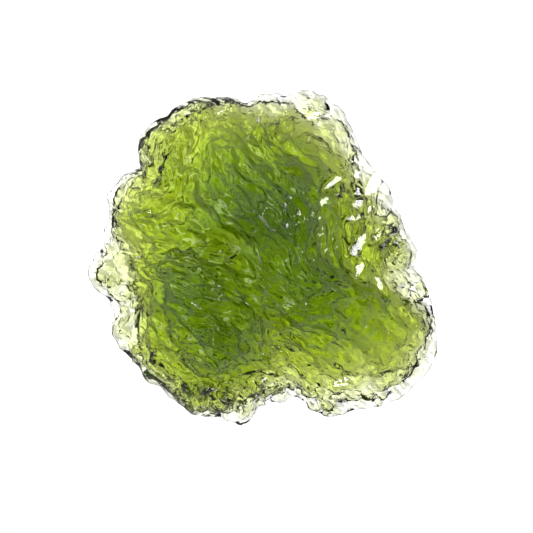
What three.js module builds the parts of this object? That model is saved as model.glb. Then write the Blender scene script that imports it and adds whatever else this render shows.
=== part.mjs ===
// A moldavite: one natural piece of green glass, thick in the middle and drawn out to a thin, clear,
// chipped rim. Both faces are etched all over with scooped furrows that run in from the rim.
// Millimetres. X is right and Y is up across the broad face, +Z is out of that face, and the stone lies
// on a small flat spot round the origin.
import * as THREE from "three";
import { ImprovedNoise } from "three/addons/math/ImprovedNoise.js";
import { mergeVertices } from "three/addons/utils/BufferGeometryUtils.js";

const { degToRad, euclideanModulo, lerp, seededRandom } = THREE.MathUtils;

// Driving sizes
const RIM_HEIGHT = 1.5; // the middle of the thin rim above the flat spot
const RIM_WAVE = 0.4; // how far the rim rises and dips, twice on its way round
const SHEET_ROLL = 0.5; // how far the whole sheet rolls up and down from place to place
const RIM_THICKNESS = 1.6;
const RIM_EDGE = 16; // how squarely the rim ends: 2 is a knife edge, and more is blunter
const CROWN_HEIGHT = 7.0; // the thick body above the rim
const CROWN_FOOT = 1.1; // how softly it runs out on to the rim: 1 is a plain crease
const CROWN_EDGE = 26; // how close to the rim's edge the body still stands up: more is closer
const KEEL_DEPTH = 1.1; // and below it, where the flat spot cuts it off
const MESH_STEPS = 34; // edges of the mesh along each eighth of the rim

// The rim, corner by corner, clockwise from the nick between the two top lobes
const RIM = [
  [-1.5, 13.6], [-0.3, 14.1], [1.2, 14.3], [2.1, 14.2], [3.2, 14.8], [4.7, 14.4], [6.1, 13.5], [7.2, 12.7],
  [7.8, 11.2], [8.3, 9.9], [8.5, 9.1], [9.2, 8.1], [10.2, 7.0], [11.0, 5.9], [11.2, 4.7], [12.0, 3.5],
  [12.5, 2.2], [13.1, 1.1], [13.3, 0.2], [13.1, -0.9], [13.7, -1.6], [14.4, -2.7], [14.7, -4.3], [15.1, -6.2],
  [15.3, -7.6], [14.8, -9.2], [13.9, -10.5], [12.6, -11.8], [11.0, -12.8], [9.2, -13.1], [7.6, -13.4],
  [5.9, -13.9], [4.6, -13.6], [3.6, -12.7], [2.6, -12.1], [1.6, -12.6], [0.2, -12.7], [-0.6, -13.4],
  [-1.3, -14.4], [-2.3, -14.6], [-3.4, -14.1], [-4.9, -13.9], [-6.3, -13.8], [-7.2, -12.8], [-8.3, -12.2],
  [-9.1, -11.2], [-10.0, -11.0], [-10.8, -10.0], [-10.6, -9.2], [-11.3, -9.1], [-12.2, -8.6], [-12.9, -7.6],
  [-13.3, -6.2], [-13.0, -4.9], [-13.7, -3.5], [-14.9, -2.6], [-15.4, -1.3], [-14.7, 0.2], [-14.1, 1.8],
  [-13.7, 3.4], [-13.8, 5.0], [-13.0, 6.5], [-12.2, 7.5], [-11.2, 7.6], [-10.8, 8.2], [-11.2, 9.4],
  [-11.0, 10.4], [-10.0, 11.6], [-8.6, 12.4], [-7.4, 13.3], [-5.9, 14.0], [-4.2, 13.9], [-2.6, 14.1],
];

// How far the thick body reaches: bearing in degrees from +X, radius, and roundness, where 2 is a plain
// dome and more is a flatter top with a steeper side
const BODY = [
  [5, 10.9, 2], [16, 11.1, 2], [26, 11.3, 2], [36, 11.6, 2], [44, 11.7, 2], [52, 12.2, 2], [60, 12.4, 2],
  [70, 12.9, 2], [80, 13.8, 2], [91, 14.8, 2], [100, 15.2, 2.2], [110, 16.2, 2.4], [118, 17.0, 2.5],
  [128, 17.4, 2.8], [138, 16.4, 3], [146, 14.6, 3.1], [154, 14.4, 2.4], [162, 14.7, 2], [170, 14.0, 2],
  [177, 13.2, 2.4], [186, 12.3, 3.8], [195, 12.0, 4.8], [204, 12.5, 4.8], [211, 13.2, 4.4], [218, 15.2, 3.4],
  [226, 16.8, 3.2], [236, 17.0, 3.4], [245, 17.2, 3.6], [253, 16.0, 3.6], [261, 13.6, 3.5], [270, 12.6, 2.8],
  [279, 12.5, 2.2], [288, 13.1, 2], [296, 13.7, 2.0], [305, 14.6, 2.3], [314, 15.8, 2.7], [322, 16.7, 3.0],
  [329, 16.7, 3.2], [335, 16.4, 3.2], [341, 15.4, 3.2], [346, 12.4, 3.2], [351, 11.4, 3.0], [357, 11.1, 2.4],
];

// Which way the glass flowed, and so which way the furrows run, in degrees from +X
const FLOW = [
  [-12.5, 3, -25], [-12, 0.5, -15], [-12.5, -2.5, 15], [-11.6, -6, 70], [-9, 4.5, 30], [-8.5, 8.5, 75],
  [-8.5, 1.5, -8], [-5, 0, -18], [-4.5, 3, -32], [-8, -1.5, -14], [-5, -2.5, -28], [-5.5, -5, -4],
  [-9, -5.5, -48], [-5.5, -8, -28], [-6, -11.5, -18], [-2, -10.5, -30], [-5.5, 8.5, 88], [-4, 11.5, 90],
  [-2, 9, -58], [0.5, 12, 75], [3, 12, 50], [0.5, 7.5, -50], [4, 8.5, -22], [6.5, 9.5, -25], [0, -3, -48],
  [1, 2, -60], [5, 1.5, 88], [8, 2, 86], [8.5, 6, 78], [11, 3, 50], [5.5, -3.5, -4], [9, -4.5, -20],
  [7, -7.5, -52], [3.5, -8.5, -38], [9.5, -9, -62], [12.5, -7, -25], [6, -12.3, -50], [12, -2.6, -30],
];

// Low swells and hollows of the broad face: middle x and y, radius, height
const SWELLS = [
  [1.6, 4.6, 3.4, 2.0], [-6.4, -3.0, 2.4, 0.9], [-4.2, -7.8, 2.4, 1.0], [4.6, 6.2, 2.0, 0.5],
  [-4.2, 12.0, 2.2, -0.9], [10.8, 1.0, 2.2, 3.0], [-6.8, 3.8, 3.0, -1.0], [7.2, -0.6, 2.2, -0.3],
  [1.8, -8.6, 2.4, -0.4], [-4.0, -11.4, 2.8, -1.1], [-7.4, 8.6, 3.8, -1.8], [8.6, -6.0, 3.4, -1.3],
  [-10.6, -0.2, 2.4, -0.5], [-7.6, -9.2, 2.8, -1.4], [-1.6, -4.6, 3.2, -0.9], [-1.8, 9.6, 2.2, 0.8],
  [-11.0, 3.6, 2.0, 0.9], [-3.0, 0.4, 2.8, -1.6], [9.6, -10.0, 2.2, -0.4], [2.8, 9.6, 2.4, 0.7],
  [4.4, 0.2, 2.6, 0.4], [1.2, -0.4, 2.0, -0.4], [-13.4, -1.6, 2.6, 0.6], [-12.4, -6.6, 1.8, 0.9],
];

// Furrows that stand out: middle x and y, direction in degrees, length, width, depth
const FURROWS = [
  [-4.2, 11.6, 88, 5.1, 2.8, 0.41], [-3.2, 9.9, -16, 2.6, 1.8, 0.41], [-5.2, -4.4, -4, 4.6, 2.0, 0.65],
  [-5, -5.9, -6, 4.6, 1.9, 0.56], [7.5, -7.8, -54, 4.4, 1.8, 0.65], [9.2, -9.4, -58, 4.0, 1.8, 0.56],
  [4.4, -8.6, -50, 4.0, 1.8, 0.56], [-9, -5.6, -50, 5.5, 1.9, 0.65], [-8, -0.6, -10, 5.1, 1.8, 0.56],
  [-7.2, 1, -6, 5.1, 1.8, 0.49], [-5.4, -1.6, -22, 5.5, 1.9, 0.56], [-5.2, 2.8, -32, 5.5, 2.0, 0.56],
  [-8.8, 3.8, 6, 4.8, 2.2, 0.56], [-7.9, 8.2, 84, 5.1, 1.9, 0.65], [-6, 9.6, 78, 4.4, 1.9, 0.56],
  [7, 1, 88, 5.5, 2.5, 0.56], [5, 1.4, 88, 5.5, 1.9, 0.56], [5.6, 9, -24, 5.3, 1.9, 0.56],
  [0.4, 7.3, -52, 4.0, 1.9, 0.56], [-1.8, 9.6, -56, 4.4, 2.0, 0.56], [6, 6.5, 40, 3.7, 1.8, 0.49],
  [8.5, 5.2, 80, 4.6, 1.8, 0.56], [9.9, 1.4, 62, 4.4, 1.9, 0.56], [6.2, -3, -3, 5.5, 1.8, 0.49],
  [6.6, -4.7, -8, 5.5, 1.9, 0.56], [-5.4, -10.6, -20, 2.9, 2.0, 0.65], [-5, -8.8, -10, 2.6, 1.9, 0.56],
  [-2, -9.4, -30, 3.1, 1.9, 0.56], [-11.6, -4.6, 76, 5.9, 1.8, 0.41], [1.2, -10.8, 24, 4.2, 2.0, 0.65],
  [12.2, -8.2, -20, 5.5, 2.0, 0.49], [11.6, -3.8, -28, 4.6, 1.9, 0.49], [-3.2, 4.4, -40, 3.3, 2.0, 0.65],
  [3.7, 6.8, 20, 3.5, 1.9, 0.56], [2.4, 12, 52, 4.0, 1.8, 0.49], [-9.6, 10, 40, 3.7, 1.8, 0.49],
];

// Furrows too many to name, spread evenly over each face
const SCATTERED = { count: 110, length: [3.2, 6.8], width: [1.6, 2.6], depth: [0.4, 0.75], turn: 20 };
const FURROW_WANDER = 0.35; // how far their sides stray from a true ellipse
const UNDERSIDE_FADE = 0.7; // the share of their depth that those of the underside lose by the rim
const MOST_CUT = 0.5; // the most that they take of the glass above or below the middle of the rim

const noise = new ImprovedNoise();

// A closed smooth line round the origin, read by its bearing in radians
function byBearing(corners) {
  const line = new THREE.CatmullRomCurve3(corners, true, "centripetal").getPoints(24 * corners.length);
  const fullTurn = 2 * Math.PI;
  const bearingOf = (point) => euclideanModulo(Math.atan2(point.y, point.x), fullTurn);
  const samples = line
    .map((point) => ({ bearing: bearingOf(point), radius: Math.hypot(point.x, point.y), z: point.z }))
    .sort((a, b) => a.bearing - b.bearing);
  return (bearing) => {
    const wanted = euclideanModulo(bearing, fullTurn);
    const after = samples.find((s) => s.bearing > wanted) ?? samples[0];
    const before = samples.findLast((s) => s.bearing <= wanted) ?? samples.at(-1);
    const gap = euclideanModulo(after.bearing - before.bearing, fullTurn);
    const share = gap > 0 ? euclideanModulo(wanted - before.bearing, fullTurn) / gap : 0;
    return { radius: lerp(before.radius, after.radius, share), roundness: lerp(before.z, after.z, share) };
  };
}

const rimAt = byBearing(RIM.map(([x, y]) => new THREE.Vector3(x, y, 0)));
const bodyAt = byBearing(
  BODY.map(([degrees, radius, roundness]) => {
    const bearing = degToRad(degrees);
    return new THREE.Vector3(radius * Math.cos(bearing), radius * Math.sin(bearing), roundness);
  }),
);

// The flow's direction at a point, from the marks near it. A direction and its opposite are the same flow,
// so the marks are averaged by twice their angle.
function flowAt(x, y) {
  let across = 0;
  let along = 0;
  for (const [markX, markY, degrees] of FLOW) {
    const weight = 1 / (0.5 + (x - markX) ** 2 + (y - markY) ** 2) ** 2;
    along += weight * Math.cos(2 * degToRad(degrees));
    across += weight * Math.sin(2 * degToRad(degrees));
  }
  return Math.atan2(across, along) / 2;
}

function furrow([x, y, degrees, length, width, depth]) {
  const angle = degToRad(degrees);
  return { x, y, cos: Math.cos(angle), sin: Math.sin(angle), long: length / 2, wide: width / 2, depth };
}

// Evenly spread furrows, each along the flow where it lies
function scatter({ count, length, width, depth, turn }, seed) {
  const goldenAngle = Math.PI * (3 - Math.sqrt(5));
  const random = (i, use) => seededRandom(seed + 17 * i + use);
  return Array.from({ length: count }, (_, i) => {
    const bearing = i * goldenAngle + seed;
    const radius = rimAt(bearing).radius * Math.sqrt((i + 0.5) / count);
    const x = radius * Math.cos(bearing) + lerp(-0.25, 0.25, random(i, 1));
    const y = radius * Math.sin(bearing) + lerp(-0.25, 0.25, random(i, 2));
    const degrees = THREE.MathUtils.radToDeg(flowAt(x, y)) + lerp(-turn, turn, random(i, 3));
    const size = random(i, 4);
    return furrow([x, y, degrees, lerp(...length, size), lerp(...width, random(i, 5)), lerp(...depth, size)]);
  });
}

// How deep the furrows cut at a point. Where two overlap the deeper one wins, which leaves a sharp crest
// between them, and a slow wander of the point keeps them from being true ellipses.
function furrowDepth(furrows, x, y) {
  const px = x + FURROW_WANDER * noise.noise(0.8 * x, 0.8 * y, 3.1);
  const py = y + FURROW_WANDER * noise.noise(0.8 * x, 0.8 * y, 7.7);
  let deepest = 0;
  for (const f of furrows) {
    const dx = px - f.x;
    const dy = py - f.y;
    const along = (dx * f.cos + dy * f.sin) / f.long;
    const across = (dy * f.cos - dx * f.sin) / f.wide;
    const reach = along * along + across * across;
    if (reach < 1) deepest = Math.max(deepest, f.depth * (1 - reach));
  }
  return deepest;
}

function swell(x, y) {
  let sum = 0;
  for (const [middleX, middleY, radius, height] of SWELLS) {
    sum += height * Math.exp(-((x - middleX) ** 2 + (y - middleY) ** 2) / radius ** 2);
  }
  return sum;
}

const faceFurrows = [...FURROWS.map(furrow), ...scatter(SCATTERED, 1)];
const undersideFurrows = scatter(SCATTERED, 501);

// The height of one face of the stone at a bearing and a share of the way out to the rim
function heightAt(bearing, outward, up) {
  const radius = outward * rimAt(bearing).radius;
  const x = radius * Math.cos(bearing);
  const y = radius * Math.sin(bearing);
  const body = bodyAt(bearing);
  const wave = RIM_WAVE * Math.sin(2 * bearing + 0.6) * outward ** 2;
  const rimMiddle = RIM_HEIGHT + wave + SHEET_ROLL * noise.noise(0.3 * x, 0.3 * y, 1.5);
  const plate = (RIM_THICKNESS / 2) * (1 - outward ** RIM_EDGE);
  const reach = Math.min(1, radius / body.radius);
  const crown = CROWN_HEIGHT * (1 - reach ** body.roundness) ** CROWN_FOOT + swell(x, y);
  const thick = up ? Math.max(0, crown) : KEEL_DEPTH * (1 - reach ** 2);
  const half = plate + thick * (1 - outward ** CROWN_EDGE);
  const etched = up
    ? furrowDepth(faceFurrows, x, y)
    : furrowDepth(undersideFurrows, x, y) * (1 - UNDERSIDE_FADE * outward ** 3);
  const relief = Math.min(etched, MOST_CUT * half);
  return up ? rimMiddle + half - relief : Math.max(0, rimMiddle - half + relief);
}

// A ball of even triangles with a row of vertices along its equator, which becomes the rim
function stoneGeometry() {
  const ball = new THREE.OctahedronGeometry(1, MESH_STEPS).rotateX(Math.PI / 2);
  ball.deleteAttribute("normal");
  ball.deleteAttribute("uv");
  const geometry = mergeVertices(ball, 1e-5);
  const position = geometry.getAttribute("position");
  for (let i = 0; i < position.count; i++) {
    const [u, v, w] = [position.getX(i), position.getY(i), position.getZ(i)];
    const bearing = Math.atan2(v, u);
    const fromPole = Math.acos(THREE.MathUtils.clamp(Math.abs(w), 0, 1)) / (Math.PI / 2);
    const outward = lerp(fromPole, Math.hypot(u, v), 0.45);
    const radius = outward * rimAt(bearing).radius;
    const upper = heightAt(bearing, outward, true);
    const lower = heightAt(bearing, outward, false);
    const z = Math.abs(w) < 1e-6 ? (upper + lower) / 2 : w > 0 ? upper : lower;
    position.setXYZ(i, radius * Math.cos(bearing), radius * Math.sin(bearing), z);
  }
  geometry.computeVertexNormals();
  return geometry;
}

const moldaviteGlass = new THREE.MeshStandardMaterial({
  name: "moldavite_glass",
  color: 0x8fb52a,
  roughness: 0.08,
  metalness: 0,
  transparent: true,
  opacity: 0.85,
});

const stone = new THREE.Mesh(stoneGeometry(), moldaviteGlass);
stone.name = "moldavite";

const moldavite = new THREE.Group();
moldavite.add(stone);

export default moldavite;
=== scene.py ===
import math
import random

import bmesh
import bpy
import numpy as np
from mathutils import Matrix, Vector, noise
from mathutils.bvhtree import BVHTree
from mathutils.kdtree import KDTree


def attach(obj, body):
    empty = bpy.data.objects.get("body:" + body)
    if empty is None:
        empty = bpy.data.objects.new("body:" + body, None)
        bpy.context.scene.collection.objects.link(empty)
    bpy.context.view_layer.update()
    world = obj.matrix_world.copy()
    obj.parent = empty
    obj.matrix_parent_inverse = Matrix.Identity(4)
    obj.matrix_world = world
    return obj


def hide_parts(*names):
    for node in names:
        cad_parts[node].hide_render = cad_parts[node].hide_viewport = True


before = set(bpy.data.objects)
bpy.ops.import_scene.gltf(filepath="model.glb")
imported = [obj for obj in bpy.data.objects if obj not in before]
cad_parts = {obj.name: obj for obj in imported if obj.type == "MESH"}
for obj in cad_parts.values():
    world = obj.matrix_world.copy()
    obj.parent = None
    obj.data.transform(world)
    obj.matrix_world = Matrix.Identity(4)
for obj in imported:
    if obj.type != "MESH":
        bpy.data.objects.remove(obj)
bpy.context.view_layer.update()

# The stone
# A moldavite, one natural piece of bottle-green glass, thick in the middle and thin and nearly clear at
# the rim. Ground acids have etched both faces into overlapping scooped furrows with sharp crests between
# them, and the skin is glossy.
MM = 0.001

# Which way the glass flowed: x and y in millimetres, and the direction in degrees from +X
FLOW_MARKS = (
    (-12.5, 3, -25), (-12, 0.5, -15), (-12.5, -2.5, 15), (-11.6, -6, 70), (-9, 4.5, 30), (-8.5, 8.5, 75),
    (-8.5, 1.5, -8), (-5, 0, -18), (-4.5, 3, -32), (-8, -1.5, -14), (-5, -2.5, -28), (-5.5, -5, -4),
    (-9, -5.5, -48), (-5.5, -8, -28), (-6, -11.5, -18), (-2, -10.5, -30), (-5.5, 8.5, 88), (-4, 11.5, 90),
    (-2, 9, -58), (0.5, 12, 75), (3, 12, 50), (0.5, 7.5, -50), (4, 8.5, -22), (6.5, 9.5, -25), (0, -3, -48),
    (1, 2, -60), (5, 1.5, 88), (8, 2, 86), (8.5, 6, 78), (11, 3, 50), (5.5, -3.5, -4), (9, -4.5, -20),
    (7, -7.5, -52), (3.5, -8.5, -38), (9.5, -9, -62), (12.5, -7, -25), (6, -12.3, -50), (12, -2.6, -30),
)
# How deeply the skin is etched from place to place: x, y, and the depth against the usual one
ETCHING_MARKS = (
    (-4.2, 11.6, 0.25), (-8, 10, 1.2), (-10.5, 4, 0.9), (-9, 0, 1.0), (-13, 0, 1.4), (-11.5, -6, 1.4),
    (-6, -3, 1.4), (-8, -7, 1.6), (-3, -8, 1.7), (-4, 4, 1.0), (1.5, 4, 1.2), (4, 2, 1.1), (0, -1, 1.2),
    (4, -4, 1.4), (9, -6, 1.2), (12, -9, 1.2), (6, -10, 1.6), (0, -11, 1.5), (7, 4, 1.2), (10, 2, 1.2),
    (4, 9, 1.0), (0, 10, 1.2), (5, 13, 0.8), (-3, 1, 1.2), (-4.5, -12.8, 2.2), (-8.8, 9.6, 1.8),
)
# How softly one mark gives way to the next, in square millimetres
FLOW_SPREAD = 0.5
ETCHING_SPREAD = 1

# The underside is etched less deeply, and less again towards the rim, which is about this far out
UNDERSIDE_DEPTH = 0.6
UNDERSIDE_FADE = 0.7
RIM_RADIUS = 14
# The furrows: how many, length, width and depth in millimetres, and how far each may turn from the flow in
# degrees
FURROW_SIZES = (
    (1300, (1.8, 3.6), (0.9, 1.5), (0.25, 0.50), 14),
    (2600, (1.2, 2.8), (0.5, 0.8), (0.12, 0.26), 16),
    (5000, (0.8, 1.6), (0.35, 0.5), (0.05, 0.10), 20),
)
# How far the ends of a furrow bend aside, as a share of half its length, and how far into the glass it
# still acts, in half widths
FURROW_BEND = 0.12
FURROW_REACH = 1.5
# The shortest direction that a furrow can still be given, for where the skin stands straight up
NO_LENGTH = 1e-6
# The most that the furrows of one face take, as a share of the glass under them
MOST_CUT = 0.3
# The glass is looked through from this far inside its skin to the other side
JUST_INSIDE = 0.02
# How strongly the skin is smoothed, how many times before it is carved, and how many after its largest
# furrows
SMOOTHING = 0.5
SMOOTHED_FIRST = 6
SMOOTHED_AGAIN = 3

# The lamp to the right of the stone, and the small flat chips in the broad face that catch it: x, y,
# direction in degrees, length and width in millimetres
LAMP_PLACE = Vector((220, 60, 150))
LAMP_CHIPS = (
    (7.9, 8.3, -62, 1.9, 0.8), (8.2, 7.1, -75, 1.9, 1.0), (8.2, 5.8, 85, 1.9, 1.1),
    (8.2, 4.7, 40, 1.4, 1.1), (8.0, 3.5, 15, 2.3, 1.0), (9.1, 4.0, 70, 1.8, 0.8),
    (8.3, 1.1, 62, 2.7, 1.2), (8.4, -1.0, 70, 1.6, 1.1), (9.8, 2.0, 55, 2.4, 1.1),
    (9.6, 6.5, 62, 3.2, 1.6), (6.0, 6.5, 38, 3.0, 1.0), (5.2, 4.9, 30, 1.4, 1.0),
    (-4.0, 12.6, 35, 1.8, 0.7), (-6.5, 12.9, 45, 2.0, 0.8), (-10.4, 8.6, -60, 2.0, 0.8),
    (-12.4, 5.9, 70, 1.6, 0.8), (-0.3, -10.6, 25, 3.2, 1.3), (6.9, -10.9, 20, 2.6, 1.2),
    (10.1, -2.4, -60, 2.6, 0.8), (4.4, 12.4, 20, 2.0, 1.0),
)
# How sharply a chip ends: more gives it a harder rim
CHIP_FLATNESS = 4

# Where the margin is crumbled: x, y and radius in millimetres, and how badly
CRUMBLED = (
    (-9.2, 9.4, 2.0, 2.2), (-10.0, 7.6, 1.4, 1.2), (-6.0, 12.6, 1.6, 2), (-6.3, -12.4, 1.8, 5),
    (-3.4, -13.4, 1.8, 5), (-10.8, -8.8, 1.6, 4), (-12.6, -4.5, 1.6, 2), (11.2, 2.6, 2.2, 3),
    (0.4, -12.2, 1.6, 3), (5.0, -12.6, 1.8, 3), (11.0, -11.0, 2.0, 2), (4.6, 13.0, 1.6, 1.5),
    (12.6, -3.4, 1.6, 2), (8.4, 9.0, 1.4, 2), (6.8, -4.8, 1.4, 0.8),
)
# Where the margin starts, out from the middle, and how wide it is
MARGIN_START = 8
MARGIN_WIDTH = 6
# How strong the facets and the pits are: all over, and how much more on the margin and where it is crumbled
FACET_SHARES = (0.05, 0.3, 0.25)
PIT_SHARES = (0.3, 0.5, 0.15)
# The facets: how wide, how steep, how much of them the thin edge loses, the share below which there are
# none, and how finely the noise behind their tilts is cut, so that no two are alike
FACET_SIZE = 0.9
FACET_SLOPE = 0.8
FACET_EDGE_LOSS = 0.8
LEAST_FACET = 0.02
TILT_FINENESS = 100

# How far in from the edge it is broken, how far out its points stand, and the bites out of it: across and
# deep in millimetres
BROKEN_EDGE = 0.9
EDGE_POINTS = 0.3
BITES = ((2.2, 0.55), (0.9, 0.35))
# The width in degrees of the sectors in which the edge is looked for
SECTOR = 2

# The solid's loose triangles are welded, and each edge is cut this many times
WELD = 0.001
SKIN_CUTS = 3

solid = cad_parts["moldavite"]
skin = bmesh.new()
skin.from_mesh(solid.data)
bmesh.ops.remove_doubles(skin, verts=skin.verts, dist=WELD * MM)
bmesh.ops.subdivide_edges(skin, edges=skin.edges, cuts=SKIN_CUTS, use_grid_fill=True)
stone_mesh = bpy.data.meshes.new("moldavite_stone")
skin.to_mesh(stone_mesh)
skin.free()


def soften(mesh, times):
    shape = bmesh.new()
    shape.from_mesh(mesh)
    for _ in range(times):
        bmesh.ops.smooth_vert(
            shape, verts=shape.verts, factor=SMOOTHING, use_axis_x=True, use_axis_y=True, use_axis_z=True
        )
    shape.to_mesh(mesh)
    shape.free()


def read_points(mesh):
    flat = np.empty(3 * len(mesh.vertices), dtype=np.float32)
    mesh.vertices.foreach_get("co", flat)
    return flat.reshape(-1, 3).astype(np.float64)


def write_points(mesh, points):
    mesh.vertices.foreach_set("co", points.astype(np.float32).ravel())
    mesh.update()


def read_normals(mesh):
    flat = np.empty(3 * len(mesh.vertices), dtype=np.float32)
    mesh.vertex_normals.foreach_get("vector", flat)
    return flat.reshape(-1, 3).astype(np.float64)


def twice_flow(x, y):
    """The flow at a place in millimetres, as the cosine and the sine of twice its angle, because a
    direction and its opposite are the same flow."""
    along = across = 0.0
    for mark_x, mark_y, degrees in FLOW_MARKS:
        weight = 1 / (FLOW_SPREAD + (x - mark_x) ** 2 + (y - mark_y) ** 2) ** 2
        along += weight * math.cos(2 * math.radians(degrees))
        across += weight * math.sin(2 * math.radians(degrees))
    strength = np.hypot(along, across)
    return along / strength, across / strength


def etching_strength(x, y):
    """How deeply the skin is etched at a place in millimetres, against the usual depth."""
    total = strength = 0.0
    for mark_x, mark_y, value in ETCHING_MARKS:
        weight = 1 / (ETCHING_SPREAD + (x - mark_x) ** 2 + (y - mark_y) ** 2) ** 2
        total += weight
        strength += weight * value
    return strength / total


def glass_thickness(mesh):
    """How thick the glass is, straight up or down, under each vertex of either face."""
    points = read_points(mesh)
    faces = [tuple(face.vertices) for face in mesh.polygons]
    surface = BVHTree.FromPolygons([Vector(point) for point in points], faces)
    thickness = np.zeros(len(points))
    for number, (point, normal) in enumerate(zip(points, read_normals(mesh))):
        inward = Vector((0, 0, -1 if normal[2] > 0 else 1))
        hit = surface.ray_cast(Vector(point) + JUST_INSIDE * MM * inward, inward)[0]
        thickness[number] = abs(hit.z - point[2]) if hit else 0.0
    return thickness


def carve(mesh, room, sizes, seed):
    """Cuts scooped furrows along the flow. Where two overlap the deeper one wins, which leaves a sharp
    crest between them. No vertex goes deeper than the room that it has left, which this takes from."""
    count, lengths, widths, depths, turn = sizes
    rng = random.Random(seed)
    points = read_points(mesh)
    normals = read_normals(mesh)
    tree = KDTree(len(points))
    for number, point in enumerate(points):
        tree.insert(point, number)
    tree.balance()
    cut = np.zeros(len(points))
    for nearest in rng.sample(range(len(points)), count):
        middle = points[nearest]
        normal = normals[nearest]
        cosine, sine = twice_flow(middle[0] / MM, middle[1] / MM)
        angle = math.atan2(sine, cosine) / 2 + math.radians(rng.uniform(-turn, turn))
        size = rng.random()
        along = np.array((math.cos(angle), math.sin(angle), 0.0))
        along -= normal * along.dot(normal)
        along /= max(np.linalg.norm(along), NO_LENGTH)
        across = np.cross(normal, along)
        half_length = 0.5 * MM * (lengths[0] + size * (lengths[1] - lengths[0]))
        half_width = 0.5 * MM * rng.uniform(*widths)
        depth = MM * (depths[0] + size * (depths[1] - depths[0]))
        depth *= etching_strength(middle[0] / MM, middle[1] / MM)
        if normal[2] < 0:
            outward = math.hypot(middle[0], middle[1]) / (RIM_RADIUS * MM)
            depth *= UNDERSIDE_DEPTH * (1 - UNDERSIDE_FADE * outward ** 3)
        bend = rng.uniform(-FURROW_BEND, FURROW_BEND)
        near = [number for _, number, _ in tree.find_range(middle, half_length)]
        offset = points[near] - middle
        run = offset @ along
        side = offset @ across + bend * run ** 2 / half_length
        reach = (run / half_length) ** 2 + (side / half_width) ** 2
        reach += (offset @ normal / (FURROW_REACH * half_width)) ** 2
        cut[near] = np.maximum(cut[near], depth * (1 - reach))
    cut = np.minimum(cut, room)
    room -= cut
    points -= normals * cut[:, None]
    points[:, 2] = np.maximum(points[:, 2], 0.0)
    write_points(mesh, points)


def facet(mesh, share):
    """Breaks the skin into small facets that each tilt their own way, steepest where the share is 1."""
    points = read_points(mesh)
    rise = np.zeros(len(points))
    for number in np.flatnonzero(share > LEAST_FACET):
        place = Vector(points[number]) / (FACET_SIZE * MM)
        middle = noise.voronoi(place)[1][0]
        tilt = 2 * noise.cell_vector(TILT_FINENESS * middle) - Vector((1, 1, 1))
        rise[number] = share[number] * FACET_SLOPE * FACET_SIZE * MM * (place - middle).dot(tilt)
    points += read_normals(mesh) * rise[:, None]
    points[:, 2] = np.maximum(points[:, 2], 0.0)
    write_points(mesh, points)


def chip(mesh, x, y, degrees, length, width):
    """Flattens a small ellipse of the broad face, so that it mirrors the lamp straight up, and returns
    how flat it leaves each vertex, from 0 to 1."""
    points = read_points(mesh)
    tilt = (LAMP_PLACE.normalized() + Vector((0, 0, 1))).normalized()
    offset = points[:, :2] - np.array((x, y)) * MM
    along = np.array((math.cos(math.radians(degrees)), math.sin(math.radians(degrees))))
    across = np.array((-along[1], along[0]))
    reach = (2 * (offset @ along) / (length * MM)) ** 2 + (2 * (offset @ across) / (width * MM)) ** 2
    share = np.clip(CHIP_FLATNESS * (1 - reach), 0, 1) * (read_normals(mesh)[:, 2] > 0)
    level = np.average(points[:, 2], weights=share)
    flat = level - (offset @ np.array((tilt.x, tilt.y))) / tilt.z
    points[:, 2] += share * (flat - points[:, 2])
    write_points(mesh, points)
    return share


def break_edge(mesh):
    """Breaks the thin edge into small scooped bites with points between them, and returns how near the
    edge each vertex is, from 0 to 1."""
    points = read_points(mesh)
    radius = np.hypot(points[:, 0], points[:, 1])
    sectors = 360 // SECTOR
    bearing = np.round(np.degrees(np.arctan2(points[:, 1], points[:, 0])) / SECTOR).astype(int) % sectors
    edge = np.zeros(sectors)
    np.maximum.at(edge, bearing, radius)
    near = np.clip(1 - (edge[bearing] - radius) / (BROKEN_EDGE * MM), 0, 1)
    for number in np.flatnonzero(near):
        out = EDGE_POINTS
        for across, deep in BITES:
            out -= deep * abs(noise.noise(Vector(points[number]) / (across * MM)))
        points[number, :2] *= 1 + near[number] * out * MM / radius[number]
    write_points(mesh, points)
    return near


soften(stone_mesh, SMOOTHED_FIRST)
near_edge = break_edge(stone_mesh)
room_to_carve = MOST_CUT * glass_thickness(stone_mesh)
for number, sizes in enumerate(FURROW_SIZES):
    carve(stone_mesh, room_to_carve, sizes, seed=number + 1)
    if number == 0:
        soften(stone_mesh, SMOOTHED_AGAIN)

ground = read_points(stone_mesh)[:, :2] / MM
margin = np.clip((np.linalg.norm(ground, axis=1) - MARGIN_START) / MARGIN_WIDTH, 0, 1)
crumbled = np.zeros(len(ground))
for x, y, radius, badly in CRUMBLED:
    crumbled += badly * np.exp(-((ground[:, 0] - x) ** 2 + (ground[:, 1] - y) ** 2) / radius ** 2)


def strength(all_over, on_margin, where_crumbled):
    """How strong facets or pits are at each vertex."""
    return all_over + on_margin * margin + where_crumbled * crumbled


facet(stone_mesh, np.clip(strength(*FACET_SHARES), 0, 1) * (1 - FACET_EDGE_LOSS * near_edge))
# The chips are polished, so that neither pits nor strokes break up what they mirror
etched = np.ones(len(ground))
for placing in LAMP_CHIPS:
    etched *= 1 - chip(stone_mesh, *placing)
pitting = etched * strength(*PIT_SHARES)
stone_mesh.attributes.new("pitting", "FLOAT", "POINT").data.foreach_set("value", pitting.astype(np.float32))
cosine, sine = twice_flow(ground[:, 0], ground[:, 1])
flow = np.stack((etched * cosine, etched * sine, 0 * etched), axis=1).astype(np.float32)
stone_mesh.attributes.new("flow", "FLOAT_VECTOR", "POINT").data.foreach_set("vector", flow.ravel())

stone_mesh.polygons.foreach_set("use_smooth", [True] * len(stone_mesh.polygons))
stone = bpy.data.objects.new("stone", stone_mesh)
bpy.context.scene.collection.objects.link(stone)

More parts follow.
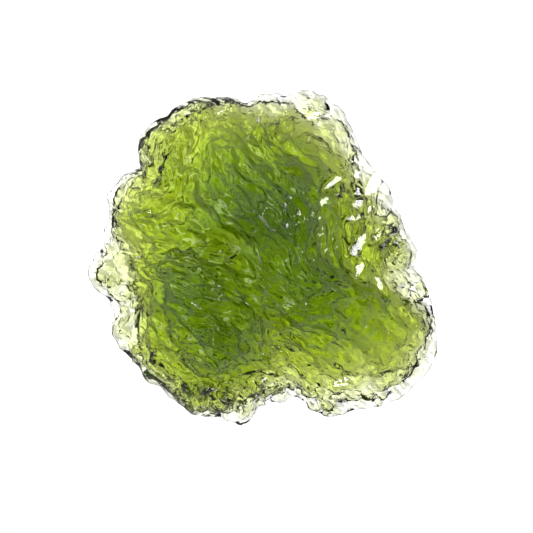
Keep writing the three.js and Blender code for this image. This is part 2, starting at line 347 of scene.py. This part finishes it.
# The glass: the colour that its depth leaves of white light, how fast it does so, how much it bends light,
# and how rough its skin is
GLASS_TINT = (0.705, 0.784, 0.02, 1)
TINT_DENSITY = 1000
GLASS_INDEX = 1.49
SKIN_ROUGHNESS = 0.06
# Pits of the skin: how many to a metre, how many finer sizes they have, how strong those are, and the
# depth of all the fine relief
PIT_SCALE = 1500
PIT_DETAIL = 2
PIT_ROUGHNESS = 0.6
RELIEF_DEPTH = 0.05
# How far pits and strokes wander in millimetres, and how often to a metre
WANDER = 0.8
WANDER_SCALE = 900
# Strokes of the skin: how many times longer than wide, how many to a metre across, how deep against the
# pits, the angle in degrees from one way to the next, and how soon one way gives place to the next
STROKE_LENGTH = 6
STROKE_SCALE = 2200
STROKE_DEPTH = 1.6
STROKE_TURN = 30
STROKE_CHANGE = 4


def calculation(nodes, operation, second=None):
    node = nodes.new("ShaderNodeMath")
    node.operation = operation
    if second is not None:
        node.inputs[1].default_value = second
    return node


glass = bpy.data.materials.new("etched_green_glass")
glass.use_nodes = True
nodes = glass.node_tree.nodes
links = glass.node_tree.links
nodes.clear()
surface = nodes.new("ShaderNodeBsdfPrincipled")
surface.inputs["Base Color"].default_value = (1, 1, 1, 1)
surface.inputs["Roughness"].default_value = SKIN_ROUGHNESS
surface.inputs["IOR"].default_value = GLASS_INDEX
surface.inputs["Transmission Weight"].default_value = 1
tint = nodes.new("ShaderNodeVolumeAbsorption")
tint.inputs["Color"].default_value = GLASS_TINT
tint.inputs["Density"].default_value = TINT_DENSITY
output = nodes.new("ShaderNodeOutputMaterial")
place = nodes.new("ShaderNodeTexCoord")
wander = nodes.new("ShaderNodeTexNoise")
wander.inputs["Scale"].default_value = WANDER_SCALE
wander.inputs["Detail"].default_value = 1
shift = nodes.new("ShaderNodeVectorMath")
shift.operation = "MULTIPLY_ADD"
shift.inputs[1].default_value = (WANDER * MM, WANDER * MM, WANDER * MM)
pits = nodes.new("ShaderNodeTexVoronoi")
pits.inputs["Scale"].default_value = PIT_SCALE
pits.inputs["Detail"].default_value = PIT_DETAIL
pits.inputs["Roughness"].default_value = PIT_ROUGHNESS
deepness = nodes.new("ShaderNodeAttribute")
deepness.attribute_name = "pitting"
pit_depth = calculation(nodes, "MULTIPLY")
bump = nodes.new("ShaderNodeBump")
bump.inputs["Strength"].default_value = 1
bump.inputs["Distance"].default_value = RELIEF_DEPTH * MM
links.new(place.outputs["Object"], wander.inputs["Vector"])
links.new(wander.outputs["Color"], shift.inputs[0])
links.new(place.outputs["Object"], shift.inputs[2])
links.new(shift.outputs["Vector"], pits.inputs["Vector"])
links.new(pits.outputs["Distance"], pit_depth.inputs[0])
links.new(deepness.outputs["Fac"], pit_depth.inputs[1])
relief = pit_depth.outputs["Value"]
# The strokes are noise drawn out in six directions, each used where the flow runs that way
flow_here = nodes.new("ShaderNodeAttribute")
flow_here.attribute_name = "flow"
for degrees in range(0, 180, STROKE_TURN):
    twice = 2 * math.radians(degrees)
    drawn_out = nodes.new("ShaderNodeMapping")
    drawn_out.vector_type = "TEXTURE"
    drawn_out.inputs["Rotation"].default_value = (0, 0, math.radians(degrees))
    drawn_out.inputs["Scale"].default_value = (STROKE_LENGTH, 1, 1)
    strokes = nodes.new("ShaderNodeTexNoise")
    strokes.inputs["Scale"].default_value = STROKE_SCALE
    strokes.inputs["Detail"].default_value = 1
    likeness = nodes.new("ShaderNodeVectorMath")
    likeness.operation = "DOT_PRODUCT"
    likeness.inputs[1].default_value = (math.cos(twice), math.sin(twice), 0)
    same_way = calculation(nodes, "MAXIMUM", 0)
    share = calculation(nodes, "POWER", STROKE_CHANGE)
    scaled = calculation(nodes, "MULTIPLY", STROKE_DEPTH)
    added = calculation(nodes, "MULTIPLY_ADD")
    links.new(shift.outputs["Vector"], drawn_out.inputs["Vector"])
    links.new(drawn_out.outputs["Vector"], strokes.inputs["Vector"])
    links.new(flow_here.outputs["Vector"], likeness.inputs[0])
    links.new(likeness.outputs["Value"], same_way.inputs[0])
    links.new(same_way.outputs["Value"], share.inputs[0])
    links.new(share.outputs["Value"], scaled.inputs[0])
    links.new(strokes.outputs["Fac"], added.inputs[0])
    links.new(scaled.outputs["Value"], added.inputs[1])
    links.new(relief, added.inputs[2])
    relief = added.outputs["Value"]
links.new(relief, bump.inputs["Height"])
links.new(bump.outputs["Normal"], surface.inputs["Normal"])
links.new(surface.outputs["BSDF"], output.inputs["Surface"])
links.new(tint.outputs["Volume"], output.inputs["Volume"])
stone_mesh.materials.append(glass)

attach(stone, "root")
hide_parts("moldavite")

# The light table
# The stone lies on a clear sheet of glass, which starts just under its flat spot. Far below is a plain pale
# board, lit from behind by a panel that is longer one way than the other.
TABLE_RADIUS = 12000
TABLE_SIDES = 96
BOARD_DEPTH = 500
BOARD_GREY = (0.2, 0.2, 0.2, 1)
BOARD_ROUGHNESS = 0.8
# The panel's middle on the board, how it is turned in degrees, and how it is drawn out
PANEL_MIDDLE = (135, -95)
PANEL_TURN = -45
PANEL_STRETCH = (2.0, 0.48, 1)
# How bright the board is in the middle of the panel, and the share of it at a distance in metres from there
PANEL_GLOW = 1.95
PANEL_FADE = ((0.0, 1.0), (0.06, 0.92), (0.12, 0.64), (0.25, 0.43), (0.42, 0.35), (1.0, 0.33))


def table_layer(name, depth):
    shape = bmesh.new()
    bmesh.ops.create_circle(shape, cap_ends=True, segments=TABLE_SIDES, radius=TABLE_RADIUS * MM)
    bmesh.ops.translate(shape, verts=shape.verts, vec=(0, 0, -depth * MM))
    mesh = bpy.data.meshes.new(name)
    shape.to_mesh(mesh)
    shape.free()
    layer = bpy.data.objects.new(name, mesh)
    bpy.context.scene.collection.objects.link(layer)
    return layer


board = table_layer("board", BOARD_DEPTH)
pale = bpy.data.materials.new("pale_lit_board")
pale.use_nodes = True
nodes = pale.node_tree.nodes
links = pale.node_tree.links
face = nodes["Principled BSDF"]
face.inputs["Base Color"].default_value = BOARD_GREY
face.inputs["Roughness"].default_value = BOARD_ROUGHNESS
face.inputs["Emission Color"].default_value = (1, 1, 1, 1)
place = nodes.new("ShaderNodeTexCoord")
panel = nodes.new("ShaderNodeMapping")
panel.vector_type = "TEXTURE"
panel.inputs["Location"].default_value = (PANEL_MIDDLE[0] * MM, PANEL_MIDDLE[1] * MM, -BOARD_DEPTH * MM)
panel.inputs["Rotation"].default_value = (0, 0, math.radians(PANEL_TURN))
panel.inputs["Scale"].default_value = PANEL_STRETCH
distance = nodes.new("ShaderNodeVectorMath")
distance.operation = "LENGTH"
fade = nodes.new("ShaderNodeValToRGB")
while len(fade.color_ramp.elements) < len(PANEL_FADE):
    fade.color_ramp.elements.new(0.5)
for element, (metres, grey) in zip(fade.color_ramp.elements, PANEL_FADE):
    element.position = metres
    element.color = (grey, grey, grey, 1)
glow = calculation(nodes, "MULTIPLY", PANEL_GLOW)
links.new(place.outputs["Object"], panel.inputs["Vector"])
links.new(panel.outputs["Vector"], distance.inputs[0])
links.new(distance.outputs["Value"], fade.inputs["Fac"])
links.new(fade.outputs["Color"], glow.inputs[0])
links.new(glow.outputs["Value"], face.inputs["Emission Strength"])
board.data.materials.append(pale)

# The sheet of glass: how far it is under the stone, how much it bends light, and how rough it is
SHEET_DEPTH = 0.02
SHEET_INDEX = 1.45
SHEET_ROUGHNESS = 0.05

sheet = table_layer("glass_sheet", SHEET_DEPTH)
clear = bpy.data.materials.new("clear_sheet_glass")
clear.use_nodes = True
nodes = clear.node_tree.nodes
links = clear.node_tree.links
nodes.clear()
through = nodes.new("ShaderNodeBsdfTransparent")
gloss = nodes.new("ShaderNodeBsdfGlossy")
gloss.inputs["Roughness"].default_value = SHEET_ROUGHNESS
grazing = nodes.new("ShaderNodeFresnel")
grazing.inputs["IOR"].default_value = SHEET_INDEX
sheet_look = nodes.new("ShaderNodeMixShader")
output = nodes.new("ShaderNodeOutputMaterial")
links.new(grazing.outputs["Fac"], sheet_look.inputs["Fac"])
links.new(through.outputs["BSDF"], sheet_look.inputs[1])
links.new(gloss.outputs["BSDF"], sheet_look.inputs[2])
links.new(sheet_look.outputs["Shader"], output.inputs["Surface"])
sheet.data.materials.append(clear)

# The light and the camera
# A pale room that is dimmer straight above, a softbox and a small lamp over the lit table, and a long lens
# looking straight down on the broad face.
ROOM_SIDE_LIGHT = 0.9
ROOM_TOP_LIGHT = 0.08
# How high the room's light starts to fade and where it is dimmest: 0 is level and 1 is straight above
ROOM_FADE = (0.1, 0.85)
# Name, place and size in millimetres, and watts
LAMPS = (
    ("softbox_left", (-150, 100, 330), (200, 200), 0.45),
    ("lamp_right", LAMP_PLACE, (44, 44), 0.12),
)
# The camera: its place, its lens and sensor in millimetres, and how near and how far it sees in metres
CAMERA_PLACE = (0.22, -0.79, 520.7)
LENS = 400
SENSOR = 36
NEAREST_SEEN = 0.005
FURTHEST_SEEN = 10
# How often light may pass through or off the glass
LIGHT_BOUNCES = 32

scene = bpy.context.scene
world = bpy.data.worlds.new("room")
world.use_nodes = True
nodes = world.node_tree.nodes
links = world.node_tree.links
direction = nodes.new("ShaderNodeTexCoord")
height = nodes.new("ShaderNodeSeparateXYZ")
dim_above = nodes.new("ShaderNodeMapRange")
dim_above.interpolation_type = "SMOOTHSTEP"
dim_above.inputs["From Min"].default_value = ROOM_FADE[0]
dim_above.inputs["From Max"].default_value = ROOM_FADE[1]
dim_above.inputs["To Min"].default_value = ROOM_SIDE_LIGHT
dim_above.inputs["To Max"].default_value = ROOM_TOP_LIGHT
links.new(direction.outputs["Generated"], height.inputs["Vector"])
links.new(height.outputs["Z"], dim_above.inputs["Value"])
links.new(dim_above.outputs["Result"], nodes["Background"].inputs["Strength"])
nodes["Background"].inputs["Color"].default_value = (1, 1, 1, 1)
scene.world = world

for name, place_mm, size_mm, watts in LAMPS:
    light = bpy.data.lights.new(name, "AREA")
    light.shape = "RECTANGLE"
    light.size = size_mm[0] * MM
    light.size_y = size_mm[1] * MM
    light.energy = watts
    lamp = bpy.data.objects.new(name, light)
    lamp.location = Vector(place_mm) * MM
    lamp.rotation_euler = (-lamp.location).to_track_quat("-Z", "Y").to_euler()
    scene.collection.objects.link(lamp)

camera_data = bpy.data.cameras.new("camera")
camera_data.lens = LENS
camera_data.sensor_width = SENSOR
camera_data.clip_start = NEAREST_SEEN
camera_data.clip_end = FURTHEST_SEEN
camera = bpy.data.objects.new("camera", camera_data)
camera.location = [value * MM for value in CAMERA_PLACE]
scene.collection.objects.link(camera)
scene.camera = camera

scene.view_settings.view_transform = "Standard"
scene.cycles.max_bounces = LIGHT_BOUNCES
scene.cycles.transmission_bounces = LIGHT_BOUNCES
scene.cycles.use_denoising = True
